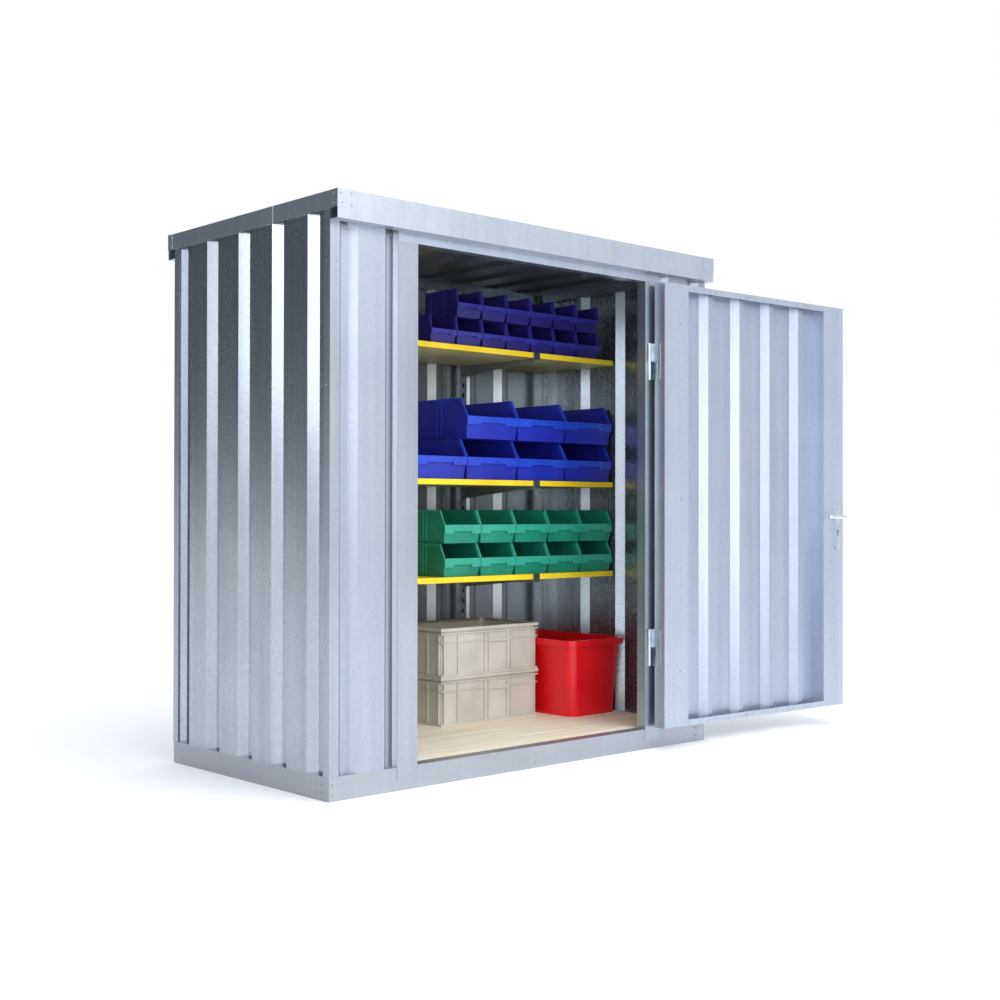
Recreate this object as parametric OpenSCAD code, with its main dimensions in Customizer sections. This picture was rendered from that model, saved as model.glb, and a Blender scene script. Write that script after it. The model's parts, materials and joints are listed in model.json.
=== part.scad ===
// Walk-up storage container of galvanised steel: ribbed sheet walls on a sill frame,
// a flat roof inside a raised rim, one hinged door with a lever handle, three shelves
// and the bins kept on them.
// Millimetres. +X runs along the front to the right, +Y runs from front to back, +Z is up.
// The origin lies on the ground under the middle of the container.
// The door stands open at rest.

/* [Body] */
// Length of the container along its front
body_w = 2100; // [1900:10:2600]
// Depth of the container from front to back
body_d = 1100; // [900:10:1400]
// Height from the ground to the top of the roof rim
body_h = 2200; // [2000:10:2700]

/* [Base] */
// Height of the base sills
sill_h = 88; // [60:1:140]
// Width of the sill flanges
sill_flange = 60; // [40:1:90]
// Steel thickness of the base frame
sill_t = 3; // [2:0.5:5]
// Length that a front or back sill wraps round a corner
sill_wrap = 27; // [15:1:40]
// Thickness of the floor board
floor_t = 20; // [15:1:30]
// Gap between the floor board and the sill flanges
floor_gap = 4; // [1:0.5:8]
// Width of a floor joist
joist_w = 40; // [30:1:80]
// Number of floor joists
joist_count = 5; // [3:2:9]

/* [Ribbed sheet] */
// Thickness of the ribbed sheet
sheet_t = 1; // [0.8:0.1:2]
// Depth of a rib
rib_d = 28; // [15:1:40]
// Spacing of the ribs in the side walls
side_pitch = 235; // [180:1:300]
// Run of a sloping web in the side walls
side_web = 37.5; // [20:0.5:50]
// Width of a groove's flat bottom
groove_w = 30; // [15:1:45]
// Distance from a side wall's leading edge to the middle of its first groove
side_first = 88.5; // [60:0.5:120]
// Spacing of the ribs in the back wall, the roof and the door
front_pitch = 215; // [180:1:300]
// Run of a sloping web in the back wall, the roof and the door
front_web = 33; // [20:0.5:50]
// Distance from the left end of the back wall to the middle of its first groove
back_first = 118; // [60:1:150]
// Distance from the body's corner to the middle of a front panel's first groove
panel_first = 82; // [70:1:120]
// Spacing of the grooves in a front panel
panel_pitch = 210; // [150:1:300]
// Run of a sloping web in a front panel
panel_web = 27; // [20:0.5:50]

/* [Corner posts and top rails] */
// Steel thickness of the posts and the lintel
post_t = 2; // [1:0.5:4]
// Width of a corner post's flange on the front or back
corner_front = 40; // [25:1:60]
// Width of a corner post's flange on the side
corner_side = 35; // [25:1:60]
// Leg length of a top rail
rail_leg = 40; // [25:1:60]
// Steel thickness of a top rail
rail_t = 3; // [2:0.5:5]

/* [Doorway] */
// Clear width of the doorway
opening_w = 1289; // [900:1:1400]
// Height of the lintel's underside above the ground
opening_top = 2058; // [1800:1:2058]
// Width of a door post's front face
door_post_w = 96; // [60:1:120]
// Depth of a door post
door_post_d = 45; // [40:1:70]
// Width of the lip at the back of a door post
door_post_lip = 30; // [15:1:60]
// Height above the ground at which a door post's face ends on the sill
post_foot = 40; // [10:1:60]
// Length of front panel that is lapped by a door post
panel_lap = 38; // [10:1:60]

/* [Roof] */
// Height of the front and back fascias
fascia_h = 105; // [85:1:140]
// Height of the side fascias
fascia_side_h = 65; // [55:1:100]
// Distance that the front and back fascias stand out from the walls
overhang = 50; // [20:1:80]
// Steel thickness of the fascias
fascia_t = 2; // [1:0.5:4]
// Width of the flange along the top of a fascia
fascia_flange = 30; // [15:1:50]
// Depth from the top of the rim to the underside of the roof sheet
roof_drop = 50; // [40:1:80]
// Width of a corner cap on the front or back
cap_w = 70; // [40:1:120]
// Length of a corner cap on the side
cap_side = 32; // [20:1:80]
// Thickness of a corner cap
cap_t = 1.5; // [1:0.5:3]

/* [Door] */
// Gap between the door leaf and the doorway on every side
door_gap = 7; // [6:0.5:12]
// Thickness of the door leaf
door_t = 60; // [50:1:80]
// Width of a door stile
stile_w = 153; // [100:1:180]
// Sheet thickness of the door's frame
door_frame_t = 1.5; // [1:0.5:3]
// Height of a door rail's lip
door_rail_lip = 27; // [15:1:60]
// Distance from the hinge edge to the middle of the first rib
door_rib_first = 332; // [240:1:400]
// Width of a door rib's flat top
door_rib_top = 28; // [15:1:45]
// Angle through which the door stands open
open_angle = 177.44; // [90:0.01:178]

/* [Hinges] */
// Distance from the doorway's edge to the hinge pin
pin_side = 17; // [14:0.5:25]
// Distance from the front of the body to the hinge pin
pin_proud = 10; // [10:0.5:20]
// Outer radius of a hinge knuckle
knuckle_r = 8; // [6:0.5:8]
// Radius of a hinge pin
pin_r = 4; // [2:0.5:5]
// Radial running clearance round a hinge pin
pin_clear = 0.05; // [0.02:0.01:0.1]
// Height of a hinge
hinge_h = 160; // [80:1:240]
// Height of the lower hinge's middle
hinge_low = 447; // [250:1:600]
// Height of the upper hinge's middle
hinge_high = 1706; // [1400:1:1800]
// Thickness of a hinge leaf
leaf_t = 2; // [1:0.5:3]
// Depth of a hinge leaf on the door's edge
leaf_depth = 34; // [20:1:50]

/* [Lock] */
// Distance from the door's free edge to the lever's spindle
spindle_edge = 50; // [35:1:75]
// Height of the spindle above the ground
spindle_z = 1020; // [900:1:1150]
// Width of a lock plate
plate_w = 40; // [30:1:60]
// Height of a lock plate
plate_h = 220; // [160:1:280]
// Thickness of a lock plate
plate_t = 8; // [4:0.5:12]
// Height of the spindle above the lock plate's middle
spindle_rise = 52; // [30:1:80]
// Distance from the spindle down to the key cylinder
key_drop = 72; // [50:1:92]
// Radius of a lever's neck
neck_r = 8; // [6:0.5:10]
// Running clearance round a lever's neck
neck_clear = 0.08; // [0.02:0.01:0.1]
// Distance from the door's face to the middle of a lever
lever_stand = 52; // [35:1:70]
// Length of a lever from its spindle
lever_l = 125; // [80:1:160]
// Radius of a lever's grip
lever_r = 9; // [6:0.5:12]
// Radius of the spindle between the two levers
spindle_r = 4.5; // [3:0.5:6]

/* [Shelves] */
// Height of the lower shelf's top
shelf_low = 757; // [600:1:800]
// Height of the middle shelf's top
shelf_mid = 1186; // [1120:1:1300]
// Height of the upper shelf's top
shelf_high = 1776; // [1650:1:1800]
// Thickness of a shelf board
shelf_t = 24; // [16:1:30]
// Distance from the front of the body to the shelves' front edge
shelf_setback = 535; // [480:1:600]
// Gap between a shelf board and the side walls
shelf_gap = 11; // [2:1:30]
// Distance from the middle of the container to a shelf upright
upright_x = 495; // [300:1:800]
// Width of a shelf upright
upright_w = 40; // [25:1:60]
// Depth of a shelf upright
upright_d = 25; // [15:1:40]
// Thickness of a bracket arm
bracket_t = 4; // [2:0.5:8]
// Height of a bracket arm at the upright
bracket_h = 55; // [30:1:90]
// Height of a bracket arm at its tip
bracket_tip = 18; // [10:1:30]

/* [Bins] */
// Wall thickness of the bins and crates
bin_t = 3; // [2:0.5:5]
// Gap between neighbouring bins
bin_gap = 2; // [0.5:0.5:10]
// Lift of a stacked bin off the one below
stack_gap = 0.3; // [0.1:0.1:0.5]
// Size of a small bin: width, depth, height
small_bin = [148, 230, 125];
// Height of a small bin's front lip, depth of the lip's band, slope of the sides' fronts
small_lip = [63, 25, 12];
// Gap between the last small bin and the right-hand wall
small_end = 100; // [5:1:200]
// Size of a green bin: width, depth, height
green_bin = [211, 350, 147];
// Height of a green bin's front lip, depth of the lip's band, slope of the sides' fronts
green_lip = [82, 40, 32];
// Gap between the last green bin and the right-hand wall
green_end = 8; // [5:1:200]
// Size of a large bin: width, depth, height
large_bin = [308, 500, 182];
// Height of a large bin's front lip, depth of the lip's band, slope of the sides' fronts
large_lip = [100, 38, 48];
// Gap between the last large bin and the right-hand wall
large_end = 12; // [5:1:200]
// How far the bins stand back from the shelves' front edge
bin_setback = 3; // [0:1:40]
// How far a bin's foot stands back from its front lip
bin_foot = 16; // [0:1:30]

/* [Crates and tub] */
// Size of a crate: length, width, height
crate = [600, 400, 217];
// Place of the crates' front left corner, from the container's middle and the body's front
crate_at = [17, 644];
// Size of the tub's rim: width and length
tub_rim = [380, 620];
// Size of the tub's base: width and length
tub_base = [300, 550];
// Height of the tub
tub_h = 357; // [300:1:500]
// Middle of the tub, from the container's middle and the body's front
tub_at = [812, 740];

/* [Hidden] */

$fn = 48;
eps = 1;                                   // how far a cutter runs past what it cuts

left_x = -body_w / 2;
front_y = -body_d / 2;
roof_z = body_h - roof_drop;               // underside of the roof sheet and top of the walls
wall_h = roof_z - sill_h;
inner_x = body_w / 2 - rib_d - sheet_t;    // inside face of the side walls' grooves
inner_y = body_d / 2 - rib_d - sheet_t;    // inside face of the back wall's grooves
joist_h = sill_h - floor_t;

opening_x = opening_w / 2;
post_x = opening_x + door_post_w;          // outer side of a door post
panel_l = body_w / 2 - post_x + panel_lap; // length of a front panel

door_w = opening_w - 2 * door_gap;
door_x = door_w / 2;
door_z = sill_h + door_gap;
door_h = opening_top - door_gap - door_z;
hinge_at = [opening_x + pin_side, front_y - pin_proud, 0];
spindle_x = -door_x + spindle_edge;

galvanised = "#b4bcc8";
zinc = "#d8dde6";
dark_steel = "#3a4046";

// A sheet seen end on, with grooves at the given distances along it
module ribbed_profile(length, grooves, flat, web) {
    outer = [
        [0, 0],
        for (c = grooves) each [
            [c - flat / 2 - web, 0], [c - flat / 2, rib_d],
            [c + flat / 2, rib_d], [c + flat / 2 + web, 0]
        ],
        [length, 0]
    ];
    inner = [for (i = [len(outer) - 1:-1:0]) outer[i] + [0, sheet_t]];
    polygon(concat(outer, inner));
}

// Distances of the grooves that fit whole on a sheet
function groove_places(length, first, pitch, flat, web) =
    [for (c = [first:pitch:length - flat / 2 - web]) c];

// Side outline of a bin; lip holds the lip's height, its band and the sides' slope
function bin_outline(size, lip) = [
    [bin_foot, 0], [size.y, 0], [size.y, size.z], [lip.z, size.z],
    [0, lip.x], [0, lip.x - lip.y]
];

// Repeats its children in the front and, turned round, in the back of the container
module front_and_back(back) {
    rotate([0, 0, back ? 180 : 0]) children();
}

// Repeats its children on both sides of the container's middle plane
module both_sides() {
    children();
    mirror([1, 0, 0]) children();
}

// Turns the closed door about its hinge to where it stands open
module opened_door() {
    translate(hinge_at) rotate([0, 0, open_angle]) translate(-hinge_at) children();
}

// ---- base ----

module long_sill(back) {
    color(galvanised) front_and_back(back) {
        translate([left_x, front_y, 0]) cube([body_w, sill_t, sill_h]);
        for (z = [0, sill_h - sill_t])
            translate([left_x + sill_t, front_y, z])
                cube([body_w - 2 * sill_t, sill_flange, sill_t]);
        both_sides() translate([left_x, front_y, 0]) cube([sill_t, sill_wrap, sill_h]);
    }
}

module sill_front() { long_sill(false); }
module sill_back() { long_sill(true); }

module short_sill(right) {
    web_l = body_d - 2 * sill_wrap;
    flange_l = body_d - 2 * sill_flange;
    color(galvanised) mirror([right ? 1 : 0, 0, 0]) {
        translate([left_x, -web_l / 2, 0]) cube([sill_t, web_l, sill_h]);
        for (z = [0, sill_h - sill_t])
            translate([left_x, -flange_l / 2, z]) cube([sill_flange, flange_l, sill_t]);
    }
}

module sill_left() { short_sill(false); }
module sill_right() { short_sill(true); }

module floor_joists() {
    outermost = body_w / 2 - sill_flange - joist_w / 2 - floor_gap;
    between = 2 * outermost / (joist_count - 1);
    clear_l = body_d - 2 * sill_flange;
    full_l = body_d - 2 * sill_t;
    color(galvanised) for (i = [0:joist_count - 1])
        translate([-outermost + i * between - joist_w / 2, 0, 0]) {
            translate([0, -clear_l / 2, 0]) cube([joist_w, clear_l, joist_h]);
            translate([0, -full_l / 2, sill_t]) cube([joist_w, full_l, joist_h - sill_t]);
        }
}

module floor_board() {
    size = [body_w, body_d] - 2 * (sill_flange + floor_gap) * [1, 1];
    color("#efe6cf") translate([-size.x / 2, -size.y / 2, joist_h])
        cube([size.x, size.y, floor_t]);
}

// ---- walls ----

module corner_post() {
    translate([left_x - post_t, front_y - post_t, sill_h]) {
        cube([corner_front + post_t, post_t, wall_h]);
        cube([post_t, corner_side + post_t, wall_h]);
    }
}

module corner_posts_front() { color(galvanised) both_sides() corner_post(); }
module corner_posts_back() { color(galvanised) rotate([0, 0, 180]) both_sides() corner_post(); }

module side_wall() {
    places = groove_places(body_d, side_first, side_pitch, groove_w, side_web);
    translate([left_x, front_y, sill_h]) linear_extrude(wall_h)
        mirror([1, 0]) rotate(90) ribbed_profile(body_d, places, groove_w, side_web);
}

module left_wall() { color("#8f979e") side_wall(); }
module right_wall() { color("#8f979e") rotate([0, 0, 180]) side_wall(); }

// The back wall and the front panels fit between the side walls' sheets
module back_wall() {
    length = body_w - 2 * sheet_t;
    places = groove_places(length, back_first - sheet_t, front_pitch, groove_w, front_web);
    color(galvanised) translate([left_x + sheet_t, -front_y, sill_h])
        linear_extrude(wall_h) mirror([0, 1])
            ribbed_profile(length, places, groove_w, front_web);
}

module front_panel() {
    length = panel_l - sheet_t;
    places = groove_places(length, panel_first - sheet_t, panel_pitch, groove_w, panel_web);
    translate([left_x + sheet_t, front_y, sill_h]) linear_extrude(wall_h)
        ribbed_profile(length, places, groove_w, panel_web);
}

module front_panel_left() { color(galvanised) front_panel(); }
module front_panel_right() { color(galvanised) mirror([1, 0, 0]) front_panel(); }

module door_post() {
    translate([-post_x, front_y - post_t, post_foot])
        cube([door_post_w, post_t, opening_top - post_foot]);
    translate([-opening_x - post_t, front_y, sill_h]) cube([post_t, door_post_d, wall_h]);
    translate([-opening_x - door_post_lip, front_y + door_post_d - post_t, sill_h])
        cube([door_post_lip, post_t, wall_h]);
}

module door_post_left() { color(galvanised) door_post(); }
module door_post_right() { color(galvanised) mirror([1, 0, 0]) door_post(); }

module door_lintel() {
    color(galvanised) {
        translate([-post_x, front_y - post_t, opening_top])
            cube([2 * post_x, post_t, roof_z - opening_top]);
        translate([-opening_x, front_y - post_t, opening_top])
            cube([opening_w, door_post_d + post_t, post_t]);
        translate([-opening_x, front_y + door_post_d - post_t, opening_top])
            cube([opening_w, post_t, door_post_lip]);
    }
}

// ---- top rails and roof ----

// An angle along X with its upright leg against the plane y = 0 and its flat leg on top
module rail_angle(length) {
    translate([-length / 2, 0, roof_z - rail_leg]) cube([length, rail_t, rail_leg]);
    translate([-length / 2, 0, roof_z - rail_t]) cube([length, rail_leg, rail_t]);
}

module top_rail_front() {
    color(galvanised) translate([0, front_y + door_post_d, 0]) rail_angle(2 * inner_x);
}

module top_rail_back() {
    color(galvanised) translate([0, inner_y, 0]) mirror([0, 1, 0]) rail_angle(2 * inner_x);
}

module top_rails_side() {
    front_end = front_y + door_post_d + rail_leg;
    back_end = inner_y - rail_leg;
    color(galvanised) both_sides()
        translate([-inner_x, (front_end + back_end) / 2, 0])
            rotate([0, 0, -90]) rail_angle(back_end - front_end);
}

roof_w = body_w + 2 * post_t;
roof_d = body_d + 2 * (overhang - fascia_t);

module roof_sheet() {
    side_ribs = floor((roof_w / 2 - groove_w / 2 - front_web) / front_pitch);
    places = [for (i = [-side_ribs:side_ribs]) roof_w / 2 + i * front_pitch];
    color("#9aa2ab") translate([-roof_w / 2, roof_d / 2, roof_z]) rotate([90, 0, 0])
        linear_extrude(roof_d) ribbed_profile(roof_w, places, groove_w, front_web);
}

module long_fascia(back) {
    length = roof_w + 2 * fascia_t;
    face_y = front_y - overhang;
    color("#c3c8d2") front_and_back(back) {
        translate([-length / 2, face_y, body_h - fascia_h]) cube([length, fascia_t, fascia_h]);
        translate([-length / 2, face_y, body_h - fascia_t])
            cube([length, fascia_flange, fascia_t]);
        translate([-length / 2, face_y, body_h - fascia_h])
            cube([length, overhang - post_t, fascia_t]);
    }
}

module fascia_front() { long_fascia(false); }
module fascia_back() { long_fascia(true); }

module side_fascia() {
    flange_l = body_d + 2 * (overhang - fascia_flange);
    translate([-roof_w / 2 - fascia_t, -roof_d / 2, body_h - fascia_side_h])
        cube([fascia_t, roof_d, fascia_side_h - fascia_t]);
    translate([-roof_w / 2 - fascia_t, -flange_l / 2, body_h - fascia_t])
        cube([fascia_flange, flange_l, fascia_t]);
}

module fascia_left() { color("#4a5152") side_fascia(); }
module fascia_right() { color("#4a5152") mirror([1, 0, 0]) side_fascia(); }

module corner_cap() {
    translate([-roof_w / 2 - fascia_t - cap_t, front_y - overhang - cap_t,
               body_h - fascia_side_h]) {
        cube([cap_w + cap_t, cap_t, fascia_side_h]);
        cube([cap_t, cap_side + cap_t, fascia_side_h]);
    }
}

module roof_corner_caps() {
    color("#b9bec9") for (turn = [0, 180]) rotate([0, 0, turn]) both_sides() corner_cap();
}

// ---- door, drawn closed and turned open ----

module door_panel() {
    length = door_w - 2 * door_frame_t;
    half = door_rib_top / 2 + front_web;
    places = [for (c = [door_rib_first:front_pitch:door_w - stile_w - half])
              c - door_frame_t];
    color("#a9b3c4") opened_door()
        translate([door_x - door_frame_t, front_y, door_z]) difference() {
            linear_extrude(door_h) mirror([1, 0])
                ribbed_profile(length, places, door_rib_top, front_web);
            spindle_holes();
        }
}

// Cutters for the lever's spindle and the key cylinder, placed from the panel's corner
module spindle_holes() {
    hole_x = spindle_x - door_x + door_frame_t;
    for (drop = [0, key_drop])
        translate([hole_x, -eps, spindle_z - door_z - drop]) rotate([-90, 0, 0])
            cylinder(h = door_t, r = drop == 0 ? neck_r + 2 : key_body_w / 2 + 2);
    translate([hole_x - key_foot_w / 2, -eps, spindle_z - door_z - key_drop - key_foot_h])
        cube([key_foot_w, door_t, key_foot_h]);
}

// A folded steel channel with its mouth to the door's outer sheet
module stile(lock_side) {
    x0 = lock_side ? -door_x : door_x - stile_w;
    face_y = front_y + door_t - door_frame_t;
    flange_d = door_t - door_frame_t;
    inner_flange = lock_side ? stile_w - door_frame_t : 0;
    translate([x0, face_y, door_z]) cube([stile_w, door_frame_t, door_h]);
    translate([x0 + (lock_side ? 0 : stile_w - door_frame_t), front_y, door_z])
        cube([door_frame_t, flange_d, door_h]);
    translate([x0 + inner_flange, front_y + sheet_t, door_z])
        cube([door_frame_t, flange_d - sheet_t, door_h]);
}

module door_stile_hinge() { color("#b7c0d0") opened_door() stile(false); }

module door_stile_lock() {
    color("#9aa6b5") opened_door() difference() {
        stile(true);
        translate([spindle_x, front_y + door_t / 2, spindle_z]) rotate([-90, 0, 0])
            cylinder(h = door_t, r = neck_r + 2);
        translate([spindle_x, front_y + door_t / 2, spindle_z - key_drop])
            key_outline_cut(door_t, 1);
    }
}

// A channel rail between the stiles, with a lip on the inside face
module door_rail(top) {
    length = door_w - 2 * stile_w;
    edge_z = top ? door_z + door_h - door_frame_t : door_z;
    lip_z = top ? door_z + door_h - door_rail_lip : door_z;
    translate([-length / 2, front_y + rib_d + sheet_t, edge_z])
        cube([length, door_t - rib_d - sheet_t, door_frame_t]);
    translate([-length / 2, front_y + door_t - door_frame_t, lip_z])
        cube([length, door_frame_t, door_rail_lip]);
}

module door_rail_top() { color("#c9d0dc") opened_door() door_rail(true); }
module door_rail_bottom() { color("#c9d0dc") opened_door() door_rail(false); }

// ---- hinges ----

hinge_heights = [hinge_low, hinge_high];
knuckle_gap = 0.5;
post_leaf_l = pin_side - 1;

module post_hinge_leaves() {
    color(zinc) for (z = hinge_heights) translate([hinge_at.x, hinge_at.y, z]) {
        translate([0, 0, -hinge_h / 2]) cylinder(h = hinge_h / 2, r = knuckle_r);
        translate([0, 0, -hinge_h / 2]) cylinder(h = hinge_h - knuckle_r, r = pin_r);
        translate([-post_leaf_l, pin_proud - post_t - leaf_t, -hinge_h / 2])
            cube([post_leaf_l, leaf_t, hinge_h / 2]);
        translate([-post_leaf_l, pin_proud - post_t - leaf_t, -hinge_h / 2])
            cube([post_leaf_l - knuckle_r - 1, leaf_t, hinge_h]);
    }
}

module door_hinge_leaves() {
    reach = pin_side + door_gap;
    color(zinc) opened_door() for (z = hinge_heights)
        translate([hinge_at.x, hinge_at.y, z]) {
            difference() {
                union() {
                    translate([0, 0, knuckle_gap])
                        cylinder(h = hinge_h / 2 - knuckle_gap, r = knuckle_r);
                    translate([-reach, -leaf_t / 2, knuckle_gap])
                        cube([reach, leaf_t, hinge_h / 2 - knuckle_gap]);
                }
                translate([0, 0, -eps])
                    cylinder(h = hinge_h / 2 - knuckle_r + 2 * eps, r = pin_r + pin_clear);
            }
            translate([-reach, -leaf_t / 2, -hinge_h / 2])
                cube([leaf_t, pin_proud + leaf_depth, hinge_h]);
        }
}

// ---- lock ----

key_body_w = 17;                           // round part of the key cylinder
key_foot_w = 10;                           // flat part of the key cylinder
key_foot_h = 24;
key_fit = 0.2;                             // gap round the key cylinder in the plates

// The key cylinder's outline, standing along +Y from y = 0
module key_outline_cut(depth, grow) {
    rotate([-90, 0, 0]) cylinder(h = depth, r = key_body_w / 2 + grow);
    translate([-key_foot_w / 2 - grow, 0, -key_foot_h - grow])
        cube([key_foot_w + 2 * grow, depth, key_foot_h]);
}

module lock_plate() {
    straight = plate_h - plate_w;
    rotate([-90, 0, 0]) linear_extrude(plate_t) {
        square([plate_w, straight], center = true);
        for (end = [-1, 1]) translate([0, end * straight / 2]) circle(d = plate_w);
    }
}

module lock_plates() {
    color(zinc) opened_door() for (y = [front_y - plate_t, front_y + door_t]) difference() {
        translate([spindle_x, y, spindle_z - spindle_rise]) lock_plate();
        translate([spindle_x, y - eps, spindle_z]) rotate([-90, 0, 0])
            cylinder(h = plate_t + 2 * eps, r = neck_r + neck_clear);
        translate([spindle_x, y - eps, spindle_z - key_drop])
            key_outline_cut(plate_t + 2 * eps, key_fit);
    }
}

module lock_cylinder() {
    proud = 2;
    color("#9c9c98") opened_door()
        translate([spindle_x, front_y - plate_t - proud, spindle_z - key_drop])
            key_outline_cut(door_t + 2 * (plate_t + proud), 0);
}

module door_lever() {
    color("#dfe3ea") opened_door() translate([spindle_x, front_y, spindle_z]) {
        translate([0, -plate_t, 0]) rotate([-90, 0, 0])
            cylinder(h = door_t + 2 * plate_t, r = spindle_r);
        for (y = [-lever_stand, door_t + lever_stand]) {
            translate([0, y < 0 ? y : door_t, 0]) rotate([-90, 0, 0])
                cylinder(h = lever_stand, r = neck_r);
            translate([0, y, 0]) rotate([0, 90, 0])
                cylinder(h = lever_l - lever_r, r = lever_r);
            for (x = [0, lever_l - lever_r]) translate([x, y, 0]) sphere(lever_r);
        }
    }
}

// ---- shelves ----

shelf_tops = [shelf_low, shelf_mid, shelf_high];
shelf_front = front_y + shelf_setback;
shelf_back = inner_y - upright_d;

module shelf_uprights() {
    height = roof_z - rail_leg - sill_h;
    color("#9aa1a8") both_sides() translate([upright_x, inner_y, sill_h])
        difference() {
            translate([-upright_w / 2, -upright_d, 0]) cube([upright_w, upright_d, height]);
            translate([-upright_w / 2 + post_t, -upright_d + post_t, -eps])
                cube([upright_w - 2 * post_t, upright_d, height + 2 * eps]);
        }
}

module bracket_arm(top) {
    arm_l = shelf_back - shelf_front;
    under = top - shelf_t;
    translate([-bracket_t / 2, 0, 0]) rotate([90, 0, 90]) linear_extrude(bracket_t)
        polygon([[shelf_back, under], [shelf_front - bracket_t, under],
                 [shelf_front - bracket_t, under - bracket_tip],
                 [shelf_front + arm_l / 4, under - bracket_tip],
                 [shelf_back, under - bracket_h]]);
    translate([-upright_w / 2, shelf_front - bracket_t, under - bracket_tip])
        cube([upright_w, bracket_t, bracket_tip + shelf_t / 3]);
}

module shelf_brackets() {
    color(dark_steel) both_sides() for (top = shelf_tops)
        translate([upright_x, 0, 0]) bracket_arm(top);
}

module shelf_board(top) {
    length = 2 * (inner_x - shelf_gap);
    color("#f2d21c") translate([-length / 2, shelf_front, top - shelf_t])
        cube([length, shelf_back - shelf_front, shelf_t]);
}

module shelf_lower() { shelf_board(shelf_low); }
module shelf_middle() { shelf_board(shelf_mid); }
module shelf_upper() { shelf_board(shelf_high); }

// ---- bins, crates and tub ----

// A bin with a low mouth in front; its front left corner is the origin
module open_bin(size, lip) {
    outline = bin_outline(size, lip);
    difference() {
        rotate([90, 0, 90]) linear_extrude(size.x) polygon(outline);
        translate([bin_t, bin_t, bin_t]) rotate([90, 0, 90])
            linear_extrude(size.x - 2 * bin_t) polygon([
                [bin_foot, 0], [size.y - 2 * bin_t, 0], [size.y - 2 * bin_t, size.z],
                [0, size.z], [0, lip.x - lip.y]
            ]);
    }
}

// Two layers of bins with the given numbers of columns, which end near the right wall
module bin_stack(size, lip, columns, base_z, end_gap) {
    for (layer = [0, 1]) for (column = [1:columns[layer]])
        translate([inner_x - end_gap - column * (size.x + bin_gap),
                   shelf_front + bin_setback,
                   base_z + layer * (size.z + stack_gap)]) open_bin(size, lip);
}

module small_bins() {
    color("#2a2470") bin_stack(small_bin, small_lip, [7, 6], shelf_high, small_end);
}

module large_bins() {
    color("#2436b4") bin_stack(large_bin, large_lip, [4, 3], shelf_mid, large_end);
}

module green_bins() {
    color("#1e8a68") bin_stack(green_bin, green_lip, [5, 5], shelf_low, green_end);
}

module grey_crates() {
    color("#a8a294") for (layer = [0, 1])
        translate([crate_at.x, front_y + crate_at.y,
                   sill_h + layer * (crate.z + stack_gap)])
        difference() {
            cube(crate);
            translate([bin_t, bin_t, bin_t])
                cube([crate.x - 2 * bin_t, crate.y - 2 * bin_t, crate.z]);
        }
}

module tub_solid(base, rim, height) {
    hull() {
        translate([-base.x / 2, -base.y / 2, 0]) cube([base.x, base.y, eps]);
        translate([-rim.x / 2, -rim.y / 2, height - eps]) cube([rim.x, rim.y, eps]);
    }
}

module red_tub() {
    color("#d8141c") translate([tub_at.x, front_y + tub_at.y, sill_h]) difference() {
        tub_solid(tub_base, tub_rim, tub_h);
        translate([0, 0, bin_t])
            tub_solid(tub_base - 2 * bin_t * [1, 1], tub_rim - 2 * bin_t * [1, 1], tub_h);
    }
}

floor_joists();
sill_front();
sill_back();
sill_left();
sill_right();
floor_board();
corner_posts_front();
corner_posts_back();
left_wall();
right_wall();
back_wall();
front_panel_left();
front_panel_right();
door_post_left();
door_post_right();
door_lintel();
top_rail_front();
top_rail_back();
top_rails_side();
roof_sheet();
fascia_front();
fascia_back();
fascia_left();
fascia_right();
roof_corner_caps();
post_hinge_leaves();
shelf_uprights();
shelf_brackets();
shelf_lower();
shelf_middle();
shelf_upper();
small_bins();
large_bins();
green_bins();
grey_crates();
red_tub();
door_panel();
door_stile_hinge();
door_stile_lock();
door_rail_top();
door_rail_bottom();
door_hinge_leaves();
lock_plates();
lock_cylinder();
door_lever();
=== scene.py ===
"""Looks of a storage container of ribbed galvanised sheet, with its door open and its shelves full."""
import json
import math

import bmesh
import bpy
from mathutils import Matrix, Vector


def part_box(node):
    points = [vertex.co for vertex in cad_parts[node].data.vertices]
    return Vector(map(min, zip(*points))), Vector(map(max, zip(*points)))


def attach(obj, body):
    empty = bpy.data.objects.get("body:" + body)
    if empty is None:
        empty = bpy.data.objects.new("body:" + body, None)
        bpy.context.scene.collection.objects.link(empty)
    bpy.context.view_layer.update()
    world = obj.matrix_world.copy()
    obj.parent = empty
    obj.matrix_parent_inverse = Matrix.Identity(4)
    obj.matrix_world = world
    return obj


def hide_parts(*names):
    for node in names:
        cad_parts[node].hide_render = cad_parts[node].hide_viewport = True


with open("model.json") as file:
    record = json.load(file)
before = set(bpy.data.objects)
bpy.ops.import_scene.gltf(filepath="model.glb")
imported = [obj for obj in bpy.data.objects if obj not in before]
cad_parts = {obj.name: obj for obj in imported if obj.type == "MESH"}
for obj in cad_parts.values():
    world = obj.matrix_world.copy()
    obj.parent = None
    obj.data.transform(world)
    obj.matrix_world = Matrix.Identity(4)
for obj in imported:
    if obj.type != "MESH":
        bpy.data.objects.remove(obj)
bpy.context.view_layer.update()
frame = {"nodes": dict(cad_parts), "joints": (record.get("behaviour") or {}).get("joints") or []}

CONTAINER, DOOR, LEVER = "container", "door", "lever"


# ---- where things are: boxes and the hinge pin from the frame, door sizes given ----

def box(node):
    lo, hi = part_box(node)
    return Vector(lo), Vector(hi)


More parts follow.
